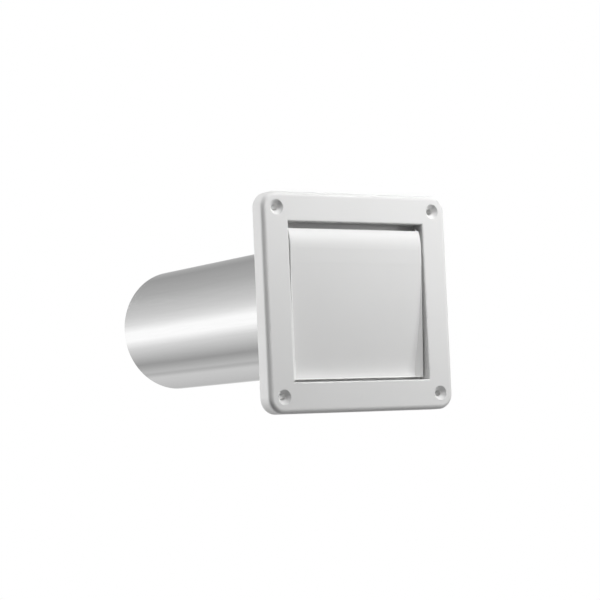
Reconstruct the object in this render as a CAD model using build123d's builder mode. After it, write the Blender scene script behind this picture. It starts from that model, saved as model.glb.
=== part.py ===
from build123d import *
from math import cos, radians, sin, tan
import os

# Wall vent with one gravity flap. A square moulded face frame has a recess with a round throat, a moulded
# flap hangs in the recess on two stub pins, and a rolled sheet tail pipe is pushed over the rear collar.
# Millimetres. The origin is on the pipe's axis in the plane of the wall. For someone who faces the vent,
# +X is to the right, -Y comes towards them and +Z is up.

# Tail pipe
pipe_diameter = 101.6
pipe_wall = 0.5
pipe_length = 275.0
seam_width = 6.0
seam_height = 1.0

# Face frame
frame_depth = 14.0
face_border = 21.6
face_wall = 2.5
skirt_wall = 2.2
frame_corner_radius = 12.0
frame_edge_radius = 3.5

# Recess behind the opening, measured outwards from the pipe
side_margin = 8.9
top_margin = 8.3
bottom_margin = 7.8
recess_wall = 2.0
back_wall = 2.0
opening_edge_radius = 1.2

# Collar that carries the pipe
collar_length = 35.0
collar_wall = 2.0
collar_clearance = 0.15
collar_lead_in = 1.0
seam_clearance = 0.5

# Screw holes
screw_inset = 12.1
screw_hole_radius = 2.5
countersink_radius = 5.6
countersink_angle = 80.0
screw_boss_wall = 3.6

# Stiffening ribs on the hollow back
rib_wall = 1.6
rib_pitch = 40.0
ribs_per_side = 3

# Hinge
hinge_depth = 8.0
hinge_drop = 5.3
pin_radius = 1.6
pin_clearance = 0.08
pin_engagement = 1.8
pin_lead_in = 0.4
ear_wall = 1.2

# Flap
flap_wall = 1.8
flap_return = 1.5
flap_side_gap = 1.3
flap_top_gap = 4.8
flap_bottom_gap = 2.1
flap_set_back = 0.8
flap_lean = 3.0
flap_edge_radius = 0.4
curl_radius = 34.0
curl_angle = 22.0
seat_clearance = 0.3

# Dish in the front of the flap, which deepens from the curl down to the lip
dish_depth = 3.5
dish_stations = 8
dish_rim = 0.5
dish_side_angle = 35.0
lip_height = 8.0
lip_middle_depth = 3.47
lip_depth = 3.05

# Values worked out from the sizes above
pipe_radius = pipe_diameter / 2
pipe_bore = pipe_radius - pipe_wall
collar_radius = pipe_bore - collar_clearance
throat_radius = collar_radius - collar_wall
seam_relief = seam_height + seam_clearance - collar_clearance
opening_width = pipe_diameter + 2 * side_margin
opening_top = pipe_radius + top_margin
opening_bottom = -pipe_radius - bottom_margin
opening_height = opening_top - opening_bottom
opening_centre = (opening_top + opening_bottom) / 2
frame_size = opening_width + 2 * face_border
screw_spacing = frame_size - 2 * screw_inset
hinge = (hinge_depth - frame_depth, opening_top - hinge_drop)
flap_width = opening_width - 2 * flap_side_gap
flap_top = opening_top - flap_top_gap
flap_bottom = opening_bottom + flap_bottom_gap
flap_back = -back_wall - seat_clearance
front_plane = Plane.XZ.offset(frame_depth)


# Front of the flap in side view, inset by a wall: foot, start of the curl and end of the curl
def flap_front(inset):
    centre_y = flap_set_back + curl_radius - frame_depth
    centre_z = flap_top - curl_radius * sin(radians(curl_angle))
    radius = curl_radius - inset
    start_y = centre_y - radius * cos(radians(flap_lean))
    start_z = centre_z - radius * sin(radians(flap_lean))
    foot_y = start_y + (start_z - flap_bottom) * tan(radians(flap_lean))
    end_y = centre_y - radius * cos(radians(curl_angle))
    end_z = centre_z + radius * sin(radians(curl_angle))
    return (foot_y, flap_bottom), (start_y, start_z), (end_y, end_z)


# Hollow of the dish, lofted through level sections up the flap's leaning front. Each section is as wide as
# the flap, with sides that slope to a flat floor; local Y points into the flap.
def dish_hollow(sink):
    foot, top, _ = flap_front(sink)
    up = (0, -sin(radians(flap_lean)), cos(radians(flap_lean)))
    level = Plane(origin=(0, foot[0], foot[1]), x_dir=(1, 0, 0), z_dir=up)
    span = (top[1] - foot[1]) / cos(radians(flap_lean)) - lip_height
    stations = [(0, lip_depth), (lip_height / 2, lip_middle_depth)]
    for step in range(dish_stations):
        rise = step / dish_stations
        stations.append((lip_height + rise * span, dish_depth * (1 - rise) ** 2))
    rim = flap_width / 2 - dish_rim
    with BuildPart() as hollow:
        for height, depth in stations:
            floor = rim - depth / tan(radians(dish_side_angle))
            right = [(rim, -flap_wall / 2), (rim, 0), (floor, depth)]
            left = [(-across, deep) for across, deep in reversed(right)]
            with BuildSketch(level.offset(height)):
                with BuildLine():
                    Polyline(*right, *left, close=True)
                make_face()
        loft()
    return hollow.part


# Face frame: rounded block, hollowed from behind around the recess walls, bosses and ribs
with BuildPart() as face_frame:
    with BuildSketch(Plane.XZ):
        RectangleRounded(frame_size, frame_size, frame_corner_radius)
    extrude(amount=frame_depth)
    fillet(face_frame.faces().sort_by(Axis.Y)[0].edges(), radius=frame_edge_radius)
    with BuildSketch(Plane.XZ):
        hollow_size = frame_size - 2 * skirt_wall
        RectangleRounded(hollow_size, hollow_size, frame_corner_radius - skirt_wall)
        with Locations((0, opening_centre)):
            Rectangle(opening_width + 2 * recess_wall, opening_height + 2 * recess_wall, mode=Mode.SUBTRACT)
        with GridLocations(rib_pitch, frame_size - face_border, ribs_per_side, 2):
            Rectangle(rib_wall, face_border, mode=Mode.SUBTRACT)
        with GridLocations(frame_size - face_border, rib_pitch, 2, ribs_per_side):
            Rectangle(face_border, rib_wall, mode=Mode.SUBTRACT)
        with GridLocations(screw_spacing, screw_spacing, 2, 2):
            Circle(screw_hole_radius + screw_boss_wall, mode=Mode.SUBTRACT)
    extrude(amount=frame_depth - face_wall, mode=Mode.SUBTRACT)
    with BuildSketch(Plane.XZ.offset(back_wall)):
        with Locations((0, opening_centre)):
            Rectangle(opening_width, opening_height)
    extrude(amount=frame_depth - back_wall, mode=Mode.SUBTRACT)
    opening_rim = face_frame.faces().sort_by(Axis.Y)[0].inner_wires().sort_by(SortBy.LENGTH)[-1]
    fillet(opening_rim.edges(), radius=opening_edge_radius)
    with BuildSketch(Plane.XZ):
        Circle(collar_radius)
    extrude(amount=-collar_length)
    chamfer(face_frame.faces().sort_by(Axis.Y)[-1].edges(), length=collar_lead_in)
    with BuildSketch(Plane.XZ.offset(-collar_length)):
        Circle(throat_radius)
    extrude(amount=collar_length + back_wall, mode=Mode.SUBTRACT)
    with BuildSketch(Plane.XZ.offset(-collar_length)):
        with Locations((collar_radius, 0)):
            Rectangle(2 * seam_relief, seam_width + 2 * seam_clearance)
    extrude(amount=collar_length, mode=Mode.SUBTRACT)
    with BuildSketch(Plane.YZ):
        with Locations(hinge):
            Circle(pin_radius + pin_clearance)
    extrude(amount=opening_width / 2 + recess_wall, both=True, mode=Mode.SUBTRACT)
    with Locations(front_plane):
        with GridLocations(screw_spacing, screw_spacing, 2, 2):
            CounterSinkHole(screw_hole_radius, countersink_radius, counter_sink_angle=countersink_angle)

# Flap: a tray with a curled top, returned sides and foot, a dished front, and an ear and pin on each side
with BuildPart() as flap:
    foot, curl_start, curl_end = flap_front(0)
    with BuildSketch(Plane.YZ):
        with BuildLine():
            front = Line(foot, curl_start)
            TangentArc(curl_start, curl_end, tangent=front % 1)
            Polyline(curl_end, hinge, (flap_back, hinge[1]), (flap_back, flap_bottom), foot)
        make_face()
    extrude(amount=flap_width / 2, both=True)
    front_edges = flap.edges().filter_by(Axis.X, reverse=True).sort_by(Axis.Y)[:4]
    fillet(front_edges, radius=flap_edge_radius)
    inner_foot, inner_start, inner_end = flap_front(flap_wall)
    floor_z = flap_bottom + flap_return
    floor_y = inner_foot[0] - flap_return * tan(radians(flap_lean))
    past_curl = (2 * curl_end[0] - inner_end[0], 2 * curl_end[1] - inner_end[1])
    with BuildSketch(Plane.YZ):
        with BuildLine():
            inner_front = Line((floor_y, floor_z), inner_start)
            TangentArc(inner_start, inner_end, tangent=inner_front % 1)
            Polyline(
                inner_end,
                past_curl,
                (past_curl[0], hinge[1] + flap_wall),
                (flap_back + flap_wall, hinge[1] + flap_wall),
                (flap_back + flap_wall, floor_z),
                (floor_y, floor_z),
            )
        make_face()
    extrude(amount=flap_width / 2 - flap_return, both=True, mode=Mode.SUBTRACT)
    add(dish_hollow(flap_wall))
    add(dish_hollow(0), mode=Mode.SUBTRACT)
    for side in (-1, 1):
        with BuildSketch(Plane.YZ.offset(side * flap_width / 2)):
            with Locations(hinge):
                Circle(pin_radius + ear_wall)
        extrude(amount=-side * flap_return)
        with BuildSketch(Plane.YZ.offset(side * flap_width / 2)):
            with Locations(hinge):
                Circle(pin_radius)
        extrude(amount=side * (flap_side_gap + pin_engagement))
    for pin_end in (0, -1):
        chamfer(flap.faces().sort_by(Axis.X)[pin_end].edges(), length=pin_lead_in)

# Tail pipe: rolled sheet tube with its lock seam folded to the inside
with BuildPart() as tail_pipe:
    with BuildSketch(Plane.XZ):
        Circle(pipe_radius)
        Circle(pipe_bore, mode=Mode.SUBTRACT)
        with Locations((pipe_bore, 0)):
            Rectangle(seam_height, seam_width, align=(Align.MAX, Align.CENTER))
    extrude(amount=-pipe_length)

os.makedirs("parts", exist_ok=True)
for piece, name in ((face_frame, "face_frame"), (flap, "flap"), (tail_pipe, "tail_pipe")):
    piece.part.label = name
    export_step(piece.part, f"parts/{name}.step")
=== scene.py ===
import math

import bpy
from mathutils import Matrix, Vector

# Wall vent: a white moulded frame and flap with a satin sheet pipe behind, in metres.
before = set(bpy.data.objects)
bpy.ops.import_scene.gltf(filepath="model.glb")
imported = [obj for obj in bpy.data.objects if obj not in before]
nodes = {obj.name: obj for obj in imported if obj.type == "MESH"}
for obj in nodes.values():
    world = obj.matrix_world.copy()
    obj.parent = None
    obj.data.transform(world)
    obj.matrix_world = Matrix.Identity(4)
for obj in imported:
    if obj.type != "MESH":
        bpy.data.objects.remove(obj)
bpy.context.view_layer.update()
scene = bpy.context.scene
scene.view_settings.view_transform = "Standard"

# Camera, fitted to the photograph's outlines; its lens and sensor are in millimetres
CAMERA_PLACE = Vector((-0.7971, -1.2124, -0.1040))
CAMERA_AIM = Vector((0.5263, 0.8471, 0.0744))
CAMERA_UP = Vector((-0.0022, -0.0862, 0.9963))
CAMERA_LENS = 116.5
SENSOR_WIDTH = 36.0

# White moulded plastic: faint cloudy colour, uneven satin gloss and a fine moulded grain
PLASTIC_LIGHT = (0.83, 0.83, 0.825, 1)
PLASTIC_DARK = (0.80, 0.80, 0.795, 1)
PLASTIC_ROUGHNESS = 0.42
PLASTIC_ROUGHNESS_SPREAD = 0.04
PLASTIC_CLOUD_SCALE = 22.0
PLASTIC_CLOUD_DETAIL = 3.0
GRAIN_SCALE = 2600.0
GRAIN_DETAIL = 2.0
GRAIN_STRENGTH = 0.30
GRAIN_HEIGHT = 0.00005

# Rolled aluminium sheet: satin metal with fine rolling streaks along the pipe. The streaks' share of the
# uneven gloss is named, and wide clouds give the rest.
SHEET_LIGHT = 0.90
SHEET_DARK = 0.84
SHEET_ROUGHNESS = 0.10
SHEET_ROUGHNESS_SPREAD = 0.05
SHEET_CLOUD_SCALE = 30.0
SHEET_CLOUD_DETAIL = 2.0
STREAK_STRETCH = (1.0, 0.03, 1.0)
STREAK_SCALE = 900.0
STREAK_DETAIL = 3.0
STREAK_SHARE = 0.6
STREAK_STRENGTH = 0.08
STREAK_HEIGHT = 0.00003

# World: the light it gives, and its level where it is seen
WHITE = (1, 1, 1, 1)
AMBIENT_LEVEL = 0.02
BACKGROUND_LEVEL = 1.0

# Floor: a grey where it is seen and a darker one for the light it bounces. What is seen of it fades to the
# white background between two distances along it from the point below the vent.
FLOOR_DROP = 0.55
FLOOR_SIZE = 12.0
FLOOR_SEEN = 0.80
FLOOR_BOUNCE = 0.45
FLOOR_FADE_START = 0.2
FLOOR_FADE_END = 1.1

# Soft lamps aimed at the face frame: name, azimuth from the front towards +X and elevation in degrees,
# distance and width in metres, power in watts, and whether reflections see it
FACE_CENTRE = Vector((0, -0.007, 0))
LAMPS = (
    ("key", 25, 36, 0.75, 0.3, 3.1, True),
    ("top", -5, 60, 0.7, 0.3, 2.0, True),
    ("right", 53, 6, 1.0, 0.25, 2.0, True),
    ("high_left", -120, 35, 1.0, 0.4, 3.6, False),
    ("back_left", -140, 0, 1.0, 0.4, 6.8, False),
    ("behind", 180, 8, 1.2, 0.4, 2.2, True),
)

# Reflection tent round the pipe's axis. Each stop is an angle in degrees, from +X towards +Z, and the
# tent's brightness there.
TENT_RADIUS = 0.5
TENT_REACH = 6.0
TENT_SEGMENTS = 96
TENT_STOPS = (
    (0, 0.90),
    (35, 0.45),
    (65, 0.35),
    (110, 0.45),
    (150, 0.65),
    (165, 0.80),
    (180, 1.10),
    (195, 1.10),
    (210, 0.75),
    (245, 0.35),
    (255, 0.45),
    (265, 0.55),
    (270, 0.45),
    (280, 0.65),
    (335, 0.50),
    (360, 0.90),
)


class Nodes:
    """Short calls for adding and joining shader nodes in one tree."""

    def __init__(self, tree):
        self.tree = tree
        tree.nodes.clear()

    def add(self, kind, **settings):
        node = self.tree.nodes.new(kind)
        for name, value in settings.items():
            setattr(node, name, value)
        return node

    def join(self, out, into):
        self.tree.links.new(out, into)

    def place(self):
        return self.add("ShaderNodeTexCoord").outputs["Object"]

    def math(self, operation, first, second=None):
        node = self.add("ShaderNodeMath", operation=operation)
        for socket, value in zip(node.inputs, (first, second)):
            if isinstance(value, bpy.types.NodeSocket):
                self.join(value, socket)
            elif value is not None:
                socket.default_value = value
        return node.outputs[0]

    def noise(self, vector, scale, detail):
        node = self.add("ShaderNodeTexNoise")
        node.inputs["Scale"].default_value = scale
        node.inputs["Detail"].default_value = detail
        self.join(vector, node.inputs["Vector"])
        return node.outputs["Fac"]

    def ramp(self, factor, low, high):
        node = self.add("ShaderNodeMapRange")
        node.inputs["To Min"].default_value = low
        node.inputs["To Max"].default_value = high
        self.join(factor, node.inputs["Value"])
        return node.outputs["Result"]

    def blend(self, factor, first, second):
        node = self.add("ShaderNodeMix", data_type="RGBA")
        node.inputs["A"].default_value = first
        node.inputs["B"].default_value = second
        self.join(factor, node.inputs["Factor"])
        return node.outputs["Result"]

    def bump(self, height, strength, distance):
        node = self.add("ShaderNodeBump")
        node.inputs["Strength"].default_value = strength
        node.inputs["Distance"].default_value = distance
        self.join(height, node.inputs["Height"])
        return node.outputs["Normal"]

    def show(self, surface, kind="ShaderNodeOutputMaterial"):
        self.join(surface, self.add(kind).inputs["Surface"])


def grey(level):
    return (level, level, level, 1)


def new_material(name):
    material = bpy.data.materials.new(name)
    material.use_nodes = True
    return material, Nodes(material.node_tree)


def set_material(node, material):
    for slot in nodes[node].material_slots:
        slot.material = material


def moulded_plastic(name):
    material, tree = new_material(name)
    place = tree.place()
    clouds = tree.noise(place, PLASTIC_CLOUD_SCALE, PLASTIC_CLOUD_DETAIL)
    grain = tree.noise(place, GRAIN_SCALE, GRAIN_DETAIL)
    smoothest = PLASTIC_ROUGHNESS - PLASTIC_ROUGHNESS_SPREAD
    roughest = PLASTIC_ROUGHNESS + PLASTIC_ROUGHNESS_SPREAD
    shader = tree.add("ShaderNodeBsdfPrincipled")
    tree.join(tree.blend(clouds, PLASTIC_DARK, PLASTIC_LIGHT), shader.inputs["Base Color"])
    tree.join(tree.ramp(clouds, smoothest, roughest), shader.inputs["Roughness"])
    tree.join(tree.bump(grain, GRAIN_STRENGTH, GRAIN_HEIGHT), shader.inputs["Normal"])
    tree.show(shader.outputs["BSDF"])
    return material


def rolled_sheet(name):
    material, tree = new_material(name)
    place = tree.place()
    stretch = tree.add("ShaderNodeMapping")
    stretch.inputs["Scale"].default_value = STREAK_STRETCH
    tree.join(place, stretch.inputs["Vector"])
    streaks = tree.noise(stretch.outputs["Vector"], STREAK_SCALE, STREAK_DETAIL)
    clouds = tree.noise(place, SHEET_CLOUD_SCALE, SHEET_CLOUD_DETAIL)
    streak_part = tree.math("MULTIPLY", streaks, STREAK_SHARE)
    cloud_part = tree.math("MULTIPLY", clouds, 1 - STREAK_SHARE)
    mixed = tree.math("ADD", streak_part, cloud_part)
    smoothest = SHEET_ROUGHNESS - SHEET_ROUGHNESS_SPREAD
    roughest = SHEET_ROUGHNESS + SHEET_ROUGHNESS_SPREAD
    shader = tree.add("ShaderNodeBsdfPrincipled")
    shader.inputs["Metallic"].default_value = 1.0
    tree.join(tree.blend(streaks, grey(SHEET_DARK), grey(SHEET_LIGHT)), shader.inputs["Base Color"])
    tree.join(tree.ramp(mixed, smoothest, roughest), shader.inputs["Roughness"])
    tree.join(tree.bump(streaks, STREAK_STRENGTH, STREAK_HEIGHT), shader.inputs["Normal"])
    tree.show(shader.outputs["BSDF"])
    return material


def new_mesh(name, points, faces):
    mesh = bpy.data.meshes.new(name)
    mesh.from_pydata(points, [], faces)
    mesh.update()
    made = bpy.data.objects.new(name, mesh)
    scene.collection.objects.link(made)
    return made


# Rays that see the plain white background
def background_rays(tree):
    path = tree.add("ShaderNodeLightPath").outputs
    seen = tree.math("MAXIMUM", path["Is Camera Ray"], path["Is Glossy Ray"])
    return tree.math("MAXIMUM", seen, path["Is Transmission Ray"])


def make_world():
    world = bpy.data.worlds.new("studio")
    scene.world = world
    world.use_nodes = True
    tree = Nodes(world.node_tree)
    background = tree.add("ShaderNodeBackground")
    background.inputs["Color"].default_value = WHITE
    level = tree.ramp(background_rays(tree), AMBIENT_LEVEL, BACKGROUND_LEVEL)
    tree.join(level, background.inputs["Strength"])
    tree.show(background.outputs["Background"], "ShaderNodeOutputWorld")


def make_floor():
    half = FLOOR_SIZE / 2
    outline = ((-half, -half), (half, -half), (half, half), (-half, half))
    floor = new_mesh("floor", [(x, y, -FLOOR_DROP) for x, y in outline], [(0, 1, 2, 3)])
    material, tree = new_material("floor_paint")
    seen = background_rays(tree)
    paint = tree.add("ShaderNodeBsdfDiffuse")
    tree.join(tree.blend(seen, grey(FLOOR_BOUNCE), grey(FLOOR_SEEN)), paint.inputs["Color"])
    glow = tree.add("ShaderNodeEmission")
    glow.inputs["Color"].default_value = WHITE
    reach = tree.add("ShaderNodeVectorMath", operation="LENGTH")
    tree.join(tree.place(), reach.inputs[0])
    fade = tree.add("ShaderNodeMapRange", interpolation_type="SMOOTHSTEP")
    fade.inputs["From Min"].default_value = math.hypot(FLOOR_DROP, FLOOR_FADE_START)
    fade.inputs["From Max"].default_value = math.hypot(FLOOR_DROP, FLOOR_FADE_END)
    tree.join(reach.outputs["Value"], fade.inputs["Value"])
    mix = tree.add("ShaderNodeMixShader")
    tree.join(tree.math("MULTIPLY", seen, fade.outputs["Result"]), mix.inputs["Fac"])
    tree.join(paint.outputs["BSDF"], mix.inputs[1])
    tree.join(glow.outputs["Emission"], mix.inputs[2])
    tree.show(mix.outputs["Shader"])
    floor.data.materials.append(material)


# Curved card round the pipe's axis, in front of the vent and behind it, which only reflections see
def make_tent():
    points = []
    for index in range(TENT_SEGMENTS):
        angle = math.tau * index / TENT_SEGMENTS
        for y in (-TENT_REACH, TENT_REACH):
            points.append((TENT_RADIUS * math.cos(angle), y, TENT_RADIUS * math.sin(angle)))
    count = len(points)
    faces = [(i, i + 1, (i + 3) % count, (i + 2) % count) for i in range(0, count, 2)]
    tent = new_mesh("tent", points, faces)
    material, tree = new_material("tent_cloth")
    split = tree.add("ShaderNodeSeparateXYZ")
    tree.join(tree.place(), split.inputs["Vector"])
    angle = tree.math("ARCTAN2", split.outputs["Z"], split.outputs["X"])
    turn = tree.math("FRACT", tree.math("DIVIDE", angle, math.tau))
    levels = tree.add("ShaderNodeValToRGB")
    tree.join(turn, levels.inputs["Fac"])
    stops = levels.color_ramp.elements
    while len(stops) < len(TENT_STOPS):
        stops.new(1.0)
    for stop, (degrees, level) in zip(stops, TENT_STOPS):
        stop.position = degrees / 360
        stop.color = grey(level)
    glow = tree.add("ShaderNodeEmission")
    tree.join(levels.outputs["Color"], glow.inputs["Color"])
    tree.show(glow.outputs["Emission"])
    tent.data.materials.append(material)
    tent.visible_camera = False
    tent.visible_diffuse = False
    tent.visible_shadow = False
    tent.visible_transmission = False


def make_lamp(name, azimuth, elevation, distance, width, power, reflected):
    around, above = math.radians(azimuth), math.radians(elevation)
    level = distance * math.cos(above)
    offset = Vector((level * math.sin(around), -level * math.cos(around), distance * math.sin(above)))
    data = bpy.data.lights.new(name, "AREA")
    data.size = width
    data.energy = power
    lamp = bpy.data.objects.new(name, data)
    lamp.location = FACE_CENTRE + offset
    lamp.rotation_euler = offset.to_track_quat("Z", "Y").to_euler()
    lamp.visible_camera = False
    lamp.visible_glossy = reflected
    scene.collection.objects.link(lamp)


def make_camera():
    data = bpy.data.cameras.new("camera")
    data.lens = CAMERA_LENS
    data.sensor_width = SENSOR_WIDTH
    camera = bpy.data.objects.new("camera", data)
    aim = CAMERA_AIM.normalized()
    right = aim.cross(CAMERA_UP).normalized()
    up = right.cross(aim)
    turn = Matrix((right, up, -aim)).transposed().to_4x4()
    camera.matrix_world = Matrix.Translation(CAMERA_PLACE) @ turn
    scene.collection.objects.link(camera)
    scene.camera = camera


white = moulded_plastic("white_moulding")
set_material("face_frame", white)
set_material("flap", white)
set_material("tail_pipe", rolled_sheet("satin_sheet"))
make_world()
make_floor()
make_tent()
for lamp in LAMPS:
    make_lamp(*lamp)
make_camera()
